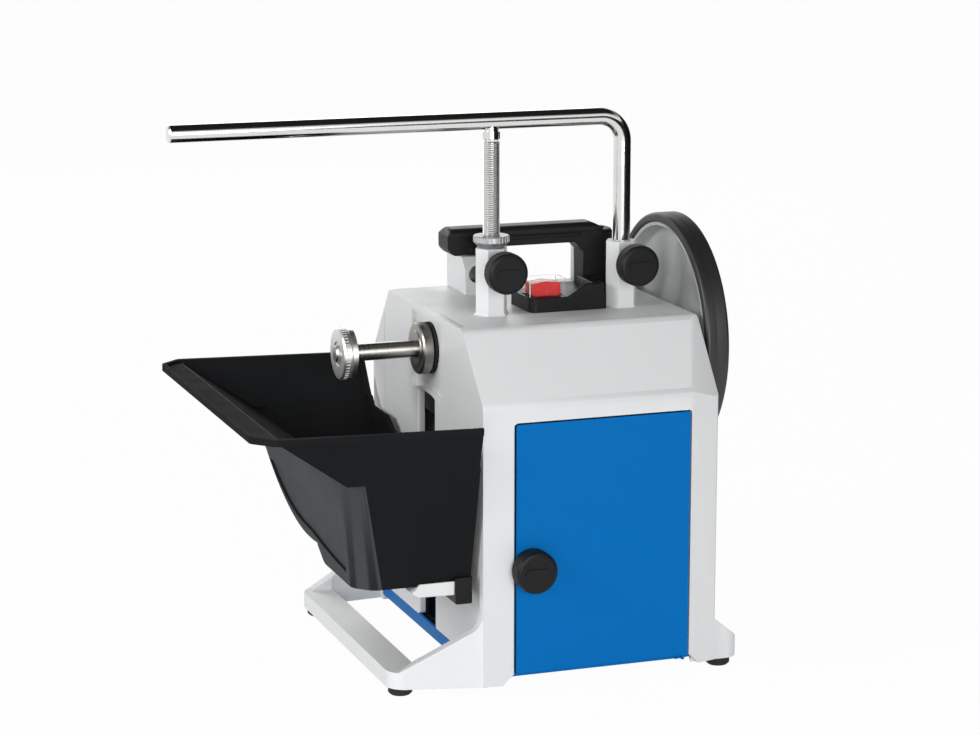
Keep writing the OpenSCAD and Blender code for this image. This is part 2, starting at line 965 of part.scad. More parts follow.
module handle() {
    color([0.09, 0.09, 0.10])
    placed()
    difference() {
        intersection() {
            along_y(0, handle_d)
                handle_outline();
            along_x(handle_x0 - 1, handle_x1 + 1)
                round_poly(
                    [[0, deck_z - 1], [handle_d, deck_z - 1], [handle_d, handle_z], [0, handle_z]],
                    [0, 0, 5, 5]
                );
        }
        along_y(-1, 1.2)
            round_rect(handle_x0 + hook_w + 4, column_x0 - 2, beam_z0 + 4.2, beam_z0 + 6.4, 1);
    }
}

// Front part with the rocker and a pad round the foot of the handle column
module switch_plan() {
    round_poly(
        [[switch_x0, switch_y0], [switch_x1, switch_y0], [switch_x1, 8], [switch_x0, 8]],
        [5, 2, 0, 4]
    );
    round_poly(
        [[column_x0 - 14, -8], [handle_x1 + 2, -8],
            [handle_x1 + 2, handle_d + 3], [column_x0 - 14, handle_d + 3]],
        [0, 4, 4, 4]
    );
}

// Cheek along the front that ramps up to a shoulder before the handle column
module switch_cheek() {
    along_y(switch_y0, switch_y0 + cheek_t)
        polygon([
            [ramp_x[0] - 1, switch_z - 1], [switch_x1 - 2, switch_z - 1], [switch_x1 - 2, switch_z + ramp_h],
            [ramp_x[1], switch_z + ramp_h], [ramp_x[0], switch_z], [ramp_x[0] - 1, switch_z]
        ]);
    box(switch_x1 - 9, switch_x1 - 2, switch_y0, 0, switch_z - 1, switch_z + ramp_h);
    box(column_x0 - 2, handle_x1 + 1, -4, 0, switch_z - 1, switch_z + ramp_h);
}

module switch_housing() {
    color([0.07, 0.07, 0.08])
    placed()
    difference() {
        union() {
            along_z(deck_z, switch_z)
                switch_plan();
            switch_cheek();
        }
        box(column_x0, handle_x1, 0, handle_d, deck_z - 1, switch_z + 1);
        along_z(deck_z - 1, switch_z + 1)
            round_rect(rocker_x - rocker_l / 2 - 1, rocker_x + rocker_l / 2 + 1,
                rocker_y - rocker_w / 2 - 1, rocker_y + rocker_w / 2 + 1, 1.5);
    }
}

// Switch body in the deck, with bearing cheeks for the rocker
module contact_block() {
    color([0.14, 0.14, 0.15])
    placed()
    difference() {
        union() {
            along_z(deck_z - plate_drop, deck_z)
                round_rect(rocker_x - 9, rocker_x + 9, rocker_y - 6, rocker_y + 6, 2);
            box(rocker_x - 9, rocker_x + 9, rocker_y - rocker_w / 2 - 1, rocker_y + rocker_w / 2 + 1,
                deck_z, deck_z + 2);
            for (s = [-1, 1])
                translate([rocker_x, rocker_y + s * (rocker_w / 2 + 0.5), 0])
                    box(-4, 4, -0.5, 0.5, deck_z, rocker_pz + 3);
        }
        translate([rocker_x, 0, rocker_pz])
            rod_y(2 + 2 * run_fit, rocker_y - 20, rocker_y + 20);
    }
}

module rocker() {
    color([0.82, 0.10, 0.10])
    placed()
    union() {
        difference() {
            along_y(rocker_y - rocker_w / 2 + 0.3, rocker_y + rocker_w / 2 - 0.3)
                polygon([
                    [rocker_x - rocker_l / 2 + 0.6, rocker_pz], [rocker_x - 5, rocker_pz - 4],
                    [rocker_x + 5, rocker_pz - 4], [rocker_x + rocker_l / 2 - 0.6, rocker_pz],
                    [rocker_x + rocker_l / 2 - 0.8, switch_z + rocker_h - 1.3],
                    [rocker_x, switch_z + rocker_h], [rocker_x - rocker_l / 2 + 0.8, switch_z + rocker_h - 1.3]
                ]);
            along_y(rocker_y - rocker_w / 2 + 2.5, rocker_y + rocker_w / 2 - 2.5)
                translate([rocker_x, rocker_pz - 4])
                    square([8, 3], center = true);
        }
        translate([rocker_x, 0, rocker_pz])
            rod_y(2, rocker_y - rocker_w / 2 - 1, rocker_y + rocker_w / 2 + 1);
    }
}

// Plan of the rocker grown by d
module cover_plan(d, r) {
    round_rect(rocker_x - rocker_l / 2 - d, rocker_x + rocker_l / 2 + d,
        rocker_y - rocker_w / 2 - d, rocker_y + rocker_w / 2 + d, r);
}

module switch_cover() {
    color([0.9, 0.9, 0.9, 0.4])
    placed()
    difference() {
        along_z(switch_z, switch_z + rocker_h + cover_head + cover_t)
            cover_plan(cover_gap + cover_t, 3);
        along_z(switch_z - 1, switch_z + rocker_h + cover_head)
            cover_plan(cover_gap, 2);
    }
}

// Shaft train

module main_shaft() {
    color([0.78, 0.79, 0.80])
    placed()
    on_shaft()
        difference() {
            union() {
                rod_x(rod_d, shaft_x0 + 1, shaft_x1 + shaft_tip);
                translate([shaft_x0, 0, 0])
                    rotate([0, 90, 0])
                        cylinder(d1 = rod_d - 2, d2 = rod_d, h = 1);
            }
            for (i = [0 : 2])
                difference() {
                    rod_x(rod_d + 2, nut_x + 1 + i * pitch, nut_x + 1.8 + i * pitch);
                    rod_x(rod_d - 1.4, nut_x - 1, nut_x + 10);
                }
        }
}

module stone_flange() {
    color([0.70, 0.71, 0.71])
    placed()
    on_shaft()
        rotate([0, 90, 0])
            translate([0, 0, flange_x - flange_t])
                rotate_extrude()
                    polygon([
                        [rod_d / 2, 0], [flange_d / 2 - 6, 0],
                        [flange_d / 2 - 5.5, 0.6], [flange_d / 2 - 1, 0.6],
                        [flange_d / 2, 1.6], [flange_d / 2, flange_t - 1], [flange_d / 2 - 1, flange_t],
                        [rod_d / 2, flange_t]
                    ]);
}

module lock_nut() {
    color([0.74, 0.75, 0.74])
    placed()
    on_shaft()
        rotate([0, 90, 0])
            translate([0, 0, nut_x - locknut_t])
                difference() {
                    rotate_extrude()
                        polygon([
                            [rod_d / 2 + run_fit, 0.5], [rod_d / 2 + 2, 0.5], [rod_d / 2 + 2.5, 0],
                            [flange_d / 2 - 1, 0], [flange_d / 2, 1], [flange_d / 2, 4.5],
                            [flange_d / 2 - 2.5, 5], [flange_d / 2 - 2.5, 6], [flange_d / 2 - 0.8, 6.5],
                            [flange_d / 2 - 0.8, locknut_t], [rod_d / 2 + run_fit, locknut_t]
                        ]);
                    for (i = [0 : 47])
                        rotate(i * 7.5)
                            translate([flange_d / 2 + 0.2, 0, 1.4])
                                cylinder(d = 1.1, h = 2.7, $fn = 16);
                }
}

module wheel_core() {
    color([0.62, 0.65, 0.65])
    placed()
    on_shaft()
        rotate([0, 90, 0])
            translate([0, 0, wheel_x0])
                rotate_extrude()
                    polygon([
                        [rod_d / 2, 0.5], [18, 0.5], [19, 1.5], [21, wheel_w - 12],
                        [40, wheel_w - 7.5], [cup_in - 2, wheel_w - 6], [cup_in, wheel_w - 8],
                        [cup_in, 1], [cup_r - 0.5, 1], [cup_r, 1.5], [cup_r, wheel_w - 1],
                        [cup_in - 3, wheel_w - 1], [42, wheel_w - 3], [24, wheel_w - 4],
                        [22, wheel_w], [rod_d / 2, wheel_w]
                    ]);
}

module wheel_tread() {
    color([0.06, 0.06, 0.06])
    placed()
    on_shaft()
        rotate([0, 90, 0])
            translate([0, 0, wheel_x0])
                rotate_extrude()
                    polygon([
                        [cup_r, 0.5], [cup_r + 1, 0], [wheel_d / 2 - 1.5, 0], [wheel_d / 2, 1.5],
                        [wheel_d / 2, tread_line - 0.3], [wheel_d / 2 - 0.4, tread_line],
                        [wheel_d / 2, tread_line + 0.3],
                        [wheel_d / 2, wheel_w - 1.5], [wheel_d / 2 - 1.5, wheel_w], [cup_r + 1, wheel_w],
                        [cup_r, wheel_w - 0.5]
                    ]);
}

module wheel_washer() {
    color([0.72, 0.73, 0.74])
    placed()
    on_shaft()
        difference() {
            rod_x(28, wheel_x1, wheel_x1 + washer_t);
            rod_x(rod_d, wheel_x1 - 1, wheel_x1 + washer_t + 1);
        }
}

module wheel_nut() {
    color([0.09, 0.09, 0.10])
    placed()
    on_shaft()
        rotate([0, 90, 0])
            translate([0, 0, wheel_x1 + washer_t])
                difference() {
                    rotate_extrude()
                        polygon([
                            [rod_d / 2, 0], [16, 0], [17, 1], [17, wheelnut_t - 3],
                            [14, wheelnut_t], [rod_d / 2, wheelnut_t]
                        ]);
                    for (i = [0 : 5])
                        rotate(i * 60)
                            translate([20, 0, -1])
                                cylinder(d = 11, h = wheelnut_t + 2);
                }
}

// Drive

module motor_can() {
    color([0.55, 0.57, 0.58])
    placed()
    on_motor()
        difference() {
            rod_x(motor_d, motor_x0, motor_x1);
            rod_x(spindle_d + 1, motor_x0 - 1, motor_x1 + 1);
        }
}

module motor_bells() {
    color([0.66, 0.67, 0.68])
    placed()
    on_motor()
        difference() {
            union() {
                rod_x(motor_d + 2, motor_x0 - bell_t, motor_x0);
                rod_x(28, motor_x0 - bell_t - bell_boss, motor_x0 - bell_t + eps);
                rod_x(motor_d + 2, motor_x1, motor_x1 + bell_t);
                rod_x(28, motor_x1 + bell_t - eps, motor_x1 + bell_t + bell_boss);
            }
            rod_x(spindle_d + 2 * run_fit, motor_x0 - 40, motor_x1 + 40);
            for (a = [0 : 45 : 315])
                rotate([a, 0, 0])
                    translate([0, 30, 0])
                        rod_x(13, motor_x0 - bell_t - 1, motor_x0 - 3);
        }
}

module motor_spindle() {
    color([0.72, 0.73, 0.74])
    placed()
    on_motor()
        rod_x(spindle_d, motor_x0 - bell_t - bell_boss + 2, wheel_x1 - 8);
}

module drive_roller() {
    color([0.58, 0.59, 0.60])
    placed()
    on_motor()
        difference() {
            rod_x(2 * roller_r, wheel_x0 + 1, wheel_x1 - 8.5);
            rod_x(spindle_d, wheel_x0, wheel_x1);
        }
}

module motor_cradle() {
    color([0.45, 0.47, 0.49])
    placed()
    difference() {
        union() {
            box(cradle_x[0] - 6, cradle_x[1] + cradle_w + 6, -cradle_hw, cradle_hw,
                pan_top, pan_top + foot_t);
            for (x = cradle_x)
                along_x(x, x + cradle_w)
                    polygon([
                        [-cradle_hw + 14, pan_top], [cradle_hw - 14, pan_top],
                        [cradle_hw, motor_z - 30], [cradle_hw, motor_z],
                        [-cradle_hw, motor_z], [-cradle_hw, motor_z - 30]
                    ]);
        }
        on_motor()
            rod_x(motor_d, motor_x0, motor_x1);
        for (s = [-1, 1])
            translate([0, s * 24, 62])
                rod_x(28, cradle_x[0] - 10, cradle_x[1] + 30);
        for (x = cradle_x, y = [-cradle_hw + 7, cradle_hw - 7])
            translate([x + cradle_w / 2, y, pan_top - 1])
                cylinder(d = bolt_d, h = foot_t + 2);
        for (x = cradle_x, y = [-cradle_hw + 5.5, cradle_hw - 5.5])
            translate([x + cradle_w / 2, y, motor_z - 12])
                cylinder(d = bolt_d, h = 20);
    }
}

module motor_straps() {
    color([0.60, 0.61, 0.62])
    placed()
    difference() {
        union() {
            on_motor()
                for (x = cradle_x)
                    rod_x(motor_d + 5, x, x + cradle_w);
            for (x = cradle_x)
                box(x, x + cradle_w, -cradle_hw, cradle_hw, motor_z, motor_z + 2.5);
        }
        on_motor()
            rod_x(motor_d, motor_x0, motor_x1);
        box(motor_x0, motor_x1, -cradle_hw - 1, cradle_hw + 1, motor_z - motor_d, motor_z);
        for (x = cradle_x, y = [-cradle_hw + 5.5, cradle_hw - 5.5])
            translate([x + cradle_w / 2, y, motor_z - 1])
                cylinder(d = bolt_d, h = 20);
    }
}

module strap_bolts() {
    color([0.68, 0.69, 0.70])
    placed()
    for (x = cradle_x, s = [-1, 1]) {
        translate([x + cradle_w / 2, s * (cradle_hw - 5.5), motor_z - 12]) {
            cylinder(d = bolt_d, h = 14.5);
            translate([0, 0, 14.5])
                cylinder(d = 9, h = 4, $fn = 6);
        }
        translate([x + cradle_w / 2, s * (cradle_hw - 7), strip_z0]) {
            cylinder(d = bolt_d, h = pan_t + foot_t);
            translate([0, 0, pan_t + foot_t])
                cylinder(d = 9, h = 4, $fn = 6);
        }
    }
}

module capacitor() {
    color([0.72, 0.73, 0.75])
    placed()
    translate([0, cap_y, cap_z]) {
        rod_x(cap_d, cap_x[0], cap_x[1]);
        rod_x(10, cap_x[1] - eps, cap_x[1] + 6);
    }
}

module capacitor_clip() {
    color([0.30, 0.31, 0.32])
    placed()
    difference() {
        union() {
            translate([0, cap_y, cap_z])
                rod_x(cap_d + 3, -22, -8);
            box(-22, -8, cap_y - 14, cap_y + 14, pan_top, pan_top + 8);
        }
        translate([0, cap_y, cap_z])
            rod_x(cap_d, -50, 20);
        box(-30, 0, cap_y - 30, cap_y + 30, pan_top - 3, pan_top);
    }
}

module terminal_box() {
    color([0.12, 0.12, 0.13])
    placed()
    difference() {
        box(40, 72, 76, 106, pan_top, pan_top + 30);
        for (x = [45, 53, 61])
            translate([x + 1.5, 0, pan_top + 24])
                rod_y(4, 70, 84);
    }
}

module cable_gland() {
    color([0.08, 0.08, 0.09])
    placed()
    translate([gland_x, 0, gland_z])
        difference() {
            union() {
                rod_y(gland_d, rear_d - wall, rear_d);
                rod_y(19, rear_d, rear_d + 3);
                rod_y(16, rear_d + 3 - eps, rear_d + 6);
                rod_y(19, rear_d - wall - 4, rear_d - wall);
            }
            rod_y(8, rear_d - wall - 5, rear_d + 7);
        }
}

// Door

module door_panel() {
    color([0.04, 0.37, 0.72])
    placed()
    difference() {
        union() {
            along_y(-front_d, -front_d + door_t)
                round_rect(-door_w / 2, door_w / 2, door_z0, door_z1, 1.5);
            along_z(door_z0, door_z1 - 4)
                translate([pivot_x, pivot_y])
                    circle(d = barrel_d);
            along_y(-front_d + door_t - eps, -front_d + 6)
                difference() {
                    round_rect(-door_w / 2 + 24, pivot_x - 6, door_z0 + 8, door_z1 - 8, 4);
                    round_rect(-door_w / 2 + 27, pivot_x - 9, door_z0 + 11, door_z1 - 11, 2);
                }
        }
        translate([pivot_x, pivot_y, door_z0 - 1])
            cylinder(d = pin_d + 2 * run_fit, h = door_z1 - door_z0 + 2);
        translate([latch_x, 0, door_knob_z])
            rod_y(latch_d + 2 * run_fit, -front_d - 1, -front_d + 10);
    }
}

module hinge_pins() {
    color([0.70, 0.71, 0.72])
    placed()
    translate([pivot_x, pivot_y, 0]) {
        translate([0, 0, strip_z0])
            cylinder(d = pin_d, h = 16);
        translate([0, 0, door_z1 - 14])
            cylinder(d = pin_d, h = 14 + door_gap + 10);
    }
}

module door_knob() {
    color([0.10, 0.10, 0.11])
    placed()
    translate([latch_x, -front_d - free_gap, door_knob_z])
        rotate([90, 0, 0])
            difference() {
                union() {
                    cylinder(d = latch_d + 8, h = 2.2);
                    translate([0, 0, 2])
                        knob(knob_d + 0.5, knob_h + 1);
                }
                translate([0, 0, -1])
                    cylinder(d = latch_d, h = 9);
            }
}

module latch_tongue() {
    color([0.62, 0.63, 0.64])
    placed()
    translate([latch_x, 0, door_knob_z]) {
        rod_y(latch_d, -front_d - free_gap - 8, -front_d + 8);
        along_y(-front_d + wall + 0.5, -front_d + wall + 2.5)
            round_rect(-6, 6, -6, 22, 3);
    }
}

// Trough and its carrier

module carrier_bar() {
    color([0.08, 0.08, 0.09])
    placed()
    difference() {
        union() {
            box(cross_x0, cross_x1, lip_y - 1, cross_y1, cross_z0, carry_z);
            box(cross_x0, cross_x1, lip_y - block_t, lip_y, cross_z0, carry_z + 5);
            box(cross_x1 - eps, rod2_x + 8, -slot_w / 2 + 0.5, slot_w / 2 - 0.5, slider_z0, carry_z);
            box(-hw - 1, rod2_x + 8, -slot_w / 2 + 0.5, slot_w / 2 - 0.5, slider_z0, slider_z1);
            box(cross_x0 + 6, cross_x1, -slot_w / 2 + 0.5, slot_w / 2 - 0.5, slider_z0, carry_z);
            along_y(-7, 7)
                polygon([[cross_x0, cross_z0], [cross_x1, cross_z0 - 14], [cross_x1, cross_z0]]);
        }
        for (y = [-rod2_y, rod2_y])
            translate([rod2_x, y, 0])
                cylinder(d = rod2_d + 2 * run_fit, h = 200);
        for (y = [cross_y0 + 24 : 26 : cross_y1 - 16])
            if (abs(y) > slot_w / 2 + 9)
                box(cross_x0 + 2.5, cross_x1 - 2.5, y - 9, y + 9, cross_z0 - 1, carry_z - 3);
    }
}

module arm_outline() {
    polygon([
        [cross_x0, arm_z0 - 1], [cross_x0, carry_z], [arm_tip + 5, carry_z],
        [arm_tip, arm_z0 + 3], [arm_tip + 5, arm_z0 - 0.5]
    ]);
}

// Front arm with a lip before the trough, rear arm with a saddle for its drum
module carrier_arms() {
    color([0.88, 0.89, 0.89])
    placed()
    difference() {
        union() {
            along_y(cross_y0 - 5, cross_y0 + 10)
                arm_outline();
            along_y(cross_y0 - 5, lip_y)
                polygon([
                    [cross_x0, carry_z - 1], [cross_x0, carry_z + 2.5],
                    [arm_tip + 6, carry_z + 2.5], [arm_tip + 3, carry_z - 1]
                ]);
            along_y(cross_y1 - 16, cross_y1)
                polygon([
                    [cross_x0, arm_z0 - 1], [cross_x0, carry_z + 45], [arm_tip + 5, carry_z + 45],
                    [arm_tip, arm_z0 + 6], [arm_tip + 5, arm_z0 - 0.5]
                ]);
            box(arm_tip + 20, cross_x1, cross_y1, cross_y1 + 4, arm_z0 - 1, carry_z);
        }
        on_shaft()
            rod_x(2 * drum_r, tray_x, 0);
    }
}

function front_at(z) = front_y - (z - tank_z0) * front_lean;
function left_at(z) = tank_x0 - (z - tank_z0) * left_lean;

// Deep part set in by d: drum about the shaft and a front box that it stands on
module tank_body(d) {
    difference() {
        union() {
            intersection() {
                on_shaft()
                    rod_x(2 * (drum_r - d), tray_x, tank_x1 - d);
                box(tray_x, 0, -20, drum_r, 0, shelf_z + 6);
            }
            along_x(tray_x, tank_x1 - d)
                polygon([
                    [front_at(tank_z0 + d) + d, tank_z0 + d], [-30, tank_z0 + d], [-20, tank_z0 + 10 + d],
                    [-20, shelf_z + 6], [front_at(shelf_z + 6) + d, shelf_z + 6]
                ]);
        }
        beyond([left_at(tank_z0), 0, tank_z0] - left_n * d, left_n);
        beyond([left_at(tank_z0) + tank_bevel, front_at(tank_z0), tank_z0] - unit(left_n + front_n) * d,
            left_n + front_n);
        difference() {
            box(tray_x - 1, tank_x0 + 4, -20, drum_r + 1, 0, shelf_z + 7);
            on_shaft()
                translate([tank_x0 - tank_bevel, 0, 0])
                    rotate([0, 90, 0])
                        cylinder(r1 = drum_r - d - 14, r2 = drum_r - d + 4, h = 18);
        }
    }
}

module tray_plan(d) {
    round_poly(
        [[tray_x + d, -tray_hl + tray_cut + d * 0.4], [tray_x + tray_cut + d * 0.4, -tray_hl + d],
            [tank_x1 - d, -tray_hl + d], [tank_x1 - d, tray_hl - d],
            [tray_x + tray_cut + d * 0.4, tray_hl - d], [tray_x + d, tray_hl - tray_cut - d * 0.4]],
        [6, 6, 3, 3, 6, 6]
    );
}

module tilted() {
    translate([tank_x1, 0, rim_z])
        rotate([0, rim_tilt, 0])
            translate([-tank_x1, 0, -rim_z])
                children();
}

// Drip tray set in by d: its floor falls to the right and from the back into the deep part
module tray_body(d) {
    low = rim_z - lip_h;
    intersection() {
        tilted()
            along_z(shelf_z - 10, rim_z + d)
                tray_plan(d);
        along_y(-tray_hl, tray_hl)
            polygon([
                [tray_x - 8, rim_z + 20], [tray_x - 8, low + 4 + d], [tray_x + 17, low + 3.4 + d],
                [left_at(shelf_z) + d, shelf_z + d], [tank_x1, shelf_z + d], [tank_x1, rim_z + 20]
            ]);
        along_x(tray_x - 8, tank_x1)
            polygon([
                [front_at(shelf_z - 12) + d, shelf_z - 12], [drum_r - 23, shelf_z - 12],
                [drum_r - 18 - d, shelf_z - 3],
                [tray_hl - 1 - d, low], [tray_hl - 1 - d, rim_z + 20], [front_at(rim_z + 20) + d, rim_z + 20]
            ]);
    }
}

module water_trough() {
    color([0.08, 0.08, 0.09])
    placed()
    difference() {
        union() {
            tank_body(0);
            tray_body(0);
            tilted()
                along_z(rim_z - lip_h, rim_z)
                    tray_plan(0);
        }
        tank_body(tank_t);
        tray_body(tank_t);
        along_x(tank_x1 - tank_t - 1, tank_x1 + 1)
            polygon([
                [-tray_hl + 4, rim_z + 2], [-104, shelf_z], [-68, shelf_z], [-55, shelf_z - 8],
                [55, shelf_z - 8], [68, shelf_z], [104, shelf_z], [tray_hl - 4, rim_z + 2]
            ]);
    }
}

housing();
top_casting();
chassis();
feet();
base_screws();
shaft_bushes();
shaft_seal();
guide_rods();
rod_holder();
support_bar();
threaded_leg();
micro_nut();
clamp_knob_left();
clamp_knob_right();
clamp_stud_left();
clamp_stud_right();
rear_knob_left();
rear_knob_right();
rear_stud_left();
rear_stud_right();
handle();
switch_housing();
contact_block();
rocker();
switch_cover();
main_shaft();
stone_flange();
lock_nut();
wheel_core();
wheel_tread();
wheel_washer();
wheel_nut();
motor_can();
motor_bells();
motor_spindle();
drive_roller();
motor_cradle();
motor_straps();
strap_bolts();
capacitor();
capacitor_clip();
terminal_box();
cable_gland();
door_panel();
hinge_pins();
door_knob();
latch_tongue();
carrier_bar();
carrier_arms();
water_trough();
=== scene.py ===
import json
import math

import bmesh
import bpy
import numpy as np
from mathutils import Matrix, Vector

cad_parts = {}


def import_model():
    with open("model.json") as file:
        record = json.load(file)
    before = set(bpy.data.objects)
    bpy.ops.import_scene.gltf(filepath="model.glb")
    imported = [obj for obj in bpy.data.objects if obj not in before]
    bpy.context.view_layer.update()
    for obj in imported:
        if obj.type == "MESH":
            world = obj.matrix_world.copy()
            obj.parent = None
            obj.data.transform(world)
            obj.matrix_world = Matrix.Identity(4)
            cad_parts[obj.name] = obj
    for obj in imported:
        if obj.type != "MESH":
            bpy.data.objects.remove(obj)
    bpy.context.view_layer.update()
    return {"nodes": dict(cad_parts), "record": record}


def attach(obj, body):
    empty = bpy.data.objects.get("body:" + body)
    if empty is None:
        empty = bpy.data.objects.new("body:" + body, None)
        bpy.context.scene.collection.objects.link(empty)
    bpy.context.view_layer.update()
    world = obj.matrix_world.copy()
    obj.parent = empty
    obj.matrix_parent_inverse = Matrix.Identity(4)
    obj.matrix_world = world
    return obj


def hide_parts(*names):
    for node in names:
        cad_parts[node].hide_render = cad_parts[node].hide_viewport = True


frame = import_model()
nodes = frame["nodes"]
record = frame["record"]
body_of = {n: b for b, ns in record["behaviour"]["bodies"].items() for n in ns}
slot_of = {s["node"]: s["material_slot"] for s in record["subparts"]}

# Places on the part, in metres

BODY_X = 0.0715  # middle of the housing along the shaft
SHAFT_Z = 0.216
DECK_Z = 0.242
PLATE = (0.0802, 0.0692)  # half sizes of the plate let into the deck
JIG_X = (0.041, 0.137)  # bores of the rear sleeve blocks
JIG_Z = 0.256
BORE_REACH = 0.0066  # a little more than the bores' radius
SWITCH_TOP = 0.2521
TANK_TOP = 0.158  # underside of the drip tray
TANK_LEFT = -0.080
LIP = 0.180
FIELD = [
    (-0.097, 0.127), (-0.087, 0.086), (-0.060, 0.088), (-0.035, 0.091),
    (-0.010, 0.095), (0.015, 0.0965), (0.034, 0.100), (0.048, 0.105),
    (0.062, 0.1123), (0.075, 0.121), (0.082, 0.127),
]  # sunk field on the trough's left side, as y and z
FIELD_FLOOR = 0.96  # size of the field's floor against its rim
FIELD_DEEP = 0.0018
# the white line round the clear cover's top is a painted highlight
RIM = 0.0005  # height of the white line round the clear cover's top

# Rounding of edges

SHARP = math.radians(32)  # a turn above this is a corner, below it a roll
ROLL = math.radians(7)  # least turn of a roll
ROLL_WIDTH = 0.005
ROLL_LENGTH = 0.02  # shortest edge that is rolled
ROLL_ROOM = 0.012  # room that a roll needs
CORNER_ROOM = 0.0012  # room that a corner needs
SHORTEST_RUN = 0.004
ROOM_SHARE = 0.4  # part of the room that a rounding may take
SEGMENTS = 3
STRAIGHT = 0.8  # cosine of the largest bend within a run
INTO_FACE = 0.3  # least share of an offset that points into the face
WELD = 2e-6
FLAT = math.radians(0.6)
LEVEL_SLACK = 1e-5
END_SLACK = 1e-6
LINE_SLACK = 2e-6

# Stage, light and camera

FLOOR_HALF = 12.0
FLOOR_GREY = 0.86
FLOOR_SEEN = 0.97  # share of plain white in what is seen of the floor
SKY_LIGHT = ((0.0, 0.42), (0.45, 0.37), (1.0, 0.36))  # lights the part, by height
SKY_SEEN = ((0.0, 1.0), (0.44, 1.0), (0.66, 0.012))  # seen and mirrored, by height
SIDE_SHADE = ((0.0, 1.0), (1.0, 0.62))  # light falls off from left to right
LAMPS = {
    # place, aim, size, power
    "front": ((-0.25, -2.35, 0.55), (0.05, 0, 0.2), (1.5, 0.9), 34.0),
    "left": ((-2.15, -0.35, 1.05), (0, 0, 0.2), (0.9, 1.0), 31.0),
    "back": ((0.3, 2.4, 1.1), (0, 0, 0.2), (1.6, 1.2), 10.0),
}
CARD = [
    # x, y and top of each fold
    (0.34, -1.75, 0.46), (1.05, -0.6, 0.70), (1.75, 0.55, 1.5), (1.5, 1.6, 1.5),
]
CARD_GREY = 0.01
PHOTO_WIDTH = 980.0
FOCAL_PIXELS = 2815.0
SENSOR = 36.0
CAMERA_PLACE = (-0.6887 + BODY_X, -1.8146, 0.5996)
CAMERA_AZIMUTH = math.radians(-19.7)
CAMERA_HEIGHT = math.radians(11.75)
CAMERA_END = 60.0


# Materials

NOISE_LOW, NOISE_HIGH = 0.25, 0.75  # where most values of a noise lie
TONE_LOW, TONE_HIGH = 0.3, 0.7
LIGHTER = 0.6  # how far tones go up against how far they go down


def links(tree, *pairs):
    for a, b in pairs:
        tree.links.new(a, b)


def shader(name):
    m = bpy.data.materials.new(name)
    m.use_nodes = True
    t = m.node_tree
    return m, t, t.nodes["Principled BSDF"]


def math_node(t, operation, a, b=None, clamp=False):
    n = t.nodes.new("ShaderNodeMath")
    n.operation = operation
    n.use_clamp = clamp
    for i, v in enumerate((a, b)):
        if v is None:
            continue
        if isinstance(v, (int, float)):
            n.inputs[i].default_value = v
        else:
            t.links.new(v, n.inputs[i])
    return n.outputs[0]


def noise(t, coord, scale, detail=4.0, rough=0.55):
    n = t.nodes.new("ShaderNodeTexNoise")
    n.inputs["Scale"].default_value = scale
    n.inputs["Detail"].default_value = detail
    n.inputs["Roughness"].default_value = rough
    t.links.new(coord, n.inputs["Vector"])
    return n.outputs["Fac"]


def ramp(t, fac, *stops):
    """Colour ramp from (position, colour) stops."""
    r = t.nodes.new("ShaderNodeValToRGB")
    e = r.color_ramp.elements
    while len(e) < len(stops):
        e.new(0.5)
    for el, (place, colour) in zip(e, stops):
        el.position = place
        el.color = (*colour, 1.0)
    t.links.new(fac, r.inputs["Fac"])
    return r.outputs["Color"]


def grey_ramp(t, fac, stops):
    return ramp(t, fac, *((place, (grey,) * 3) for place, grey in stops))


def spread(t, fac, lo, hi):
    """A noise's values laid out between two limits."""
    r = t.nodes.new("ShaderNodeMapRange")
    r.inputs["From Min"].default_value = NOISE_LOW
    r.inputs["From Max"].default_value = NOISE_HIGH
    r.inputs["To Min"].default_value = lo
    r.inputs["To Max"].default_value = hi
    t.links.new(fac, r.inputs["Value"])
    return r.outputs["Result"]


def bump(t, height, strength, distance):
    b = t.nodes.new("ShaderNodeBump")
    b.inputs["Strength"].default_value = strength
    b.inputs["Distance"].default_value = distance
    t.links.new(height, b.inputs["Height"])
    return b.outputs["Normal"]


def object_coord(t):
    return t.nodes.new("ShaderNodeTexCoord").outputs["Object"]


def stretched(t, coord, scale):
    m = t.nodes.new("ShaderNodeMapping")
    m.inputs["Scale"].default_value = scale
    t.links.new(coord, m.inputs["Vector"])
    return m.outputs["Vector"]


def round_shaft(t, coord, along, across):
    """Coordinates that make marks run round the main shaft's axis."""
    s = t.nodes.new("ShaderNodeSeparateXYZ")
    t.links.new(coord, s.inputs[0])
    y = s.outputs["Y"]
    z = math_node(t, "SUBTRACT", s.outputs["Z"], SHAFT_Z)
    y_sq = math_node(t, "MULTIPLY", y, y)
    z_sq = math_node(t, "MULTIPLY", z, z)
    radius = math_node(t, "SQRT", math_node(t, "ADD", y_sq, z_sq))
    c = t.nodes.new("ShaderNodeCombineXYZ")
    links(
        t,
        (math_node(t, "MULTIPLY", radius, across), c.inputs["X"]),
        (math_node(t, "MULTIPLY", s.outputs["X"], along), c.inputs["Y"]),
    )
    return c.outputs[0]


def shade(c, k):
    return tuple(min(1.0, v * k) for v in c)


def tones(t, fac, colour, vary):
    """A colour that drifts a little darker and lighter."""
    dark, light = shade(colour, 1 - vary), shade(colour, 1 + vary * LIGHTER)
    return ramp(t, fac, (TONE_LOW, dark), (TONE_HIGH, light))


def moulded(name, colour, rough, grain, depth, strength, vary, spec):
    """Moulded plastic or paint: broad tone drift, fine grain, uneven gloss."""
    m, t, b = shader(name)
    c = object_coord(t)
    drift, gloss, fine = noise(t, c, 9.0, 3.0), noise(t, c, 38.0, 5.0), noise(t, c, grain, 3.0)
    links(
        t,
        (tones(t, drift, colour, vary), b.inputs["Base Color"]),
        (spread(t, gloss, rough - 0.05, rough + 0.06), b.inputs["Roughness"]),
        (bump(t, fine, strength, depth), b.inputs["Normal"]),
    )
    b.inputs["Specular IOR Level"].default_value = spec
    return m


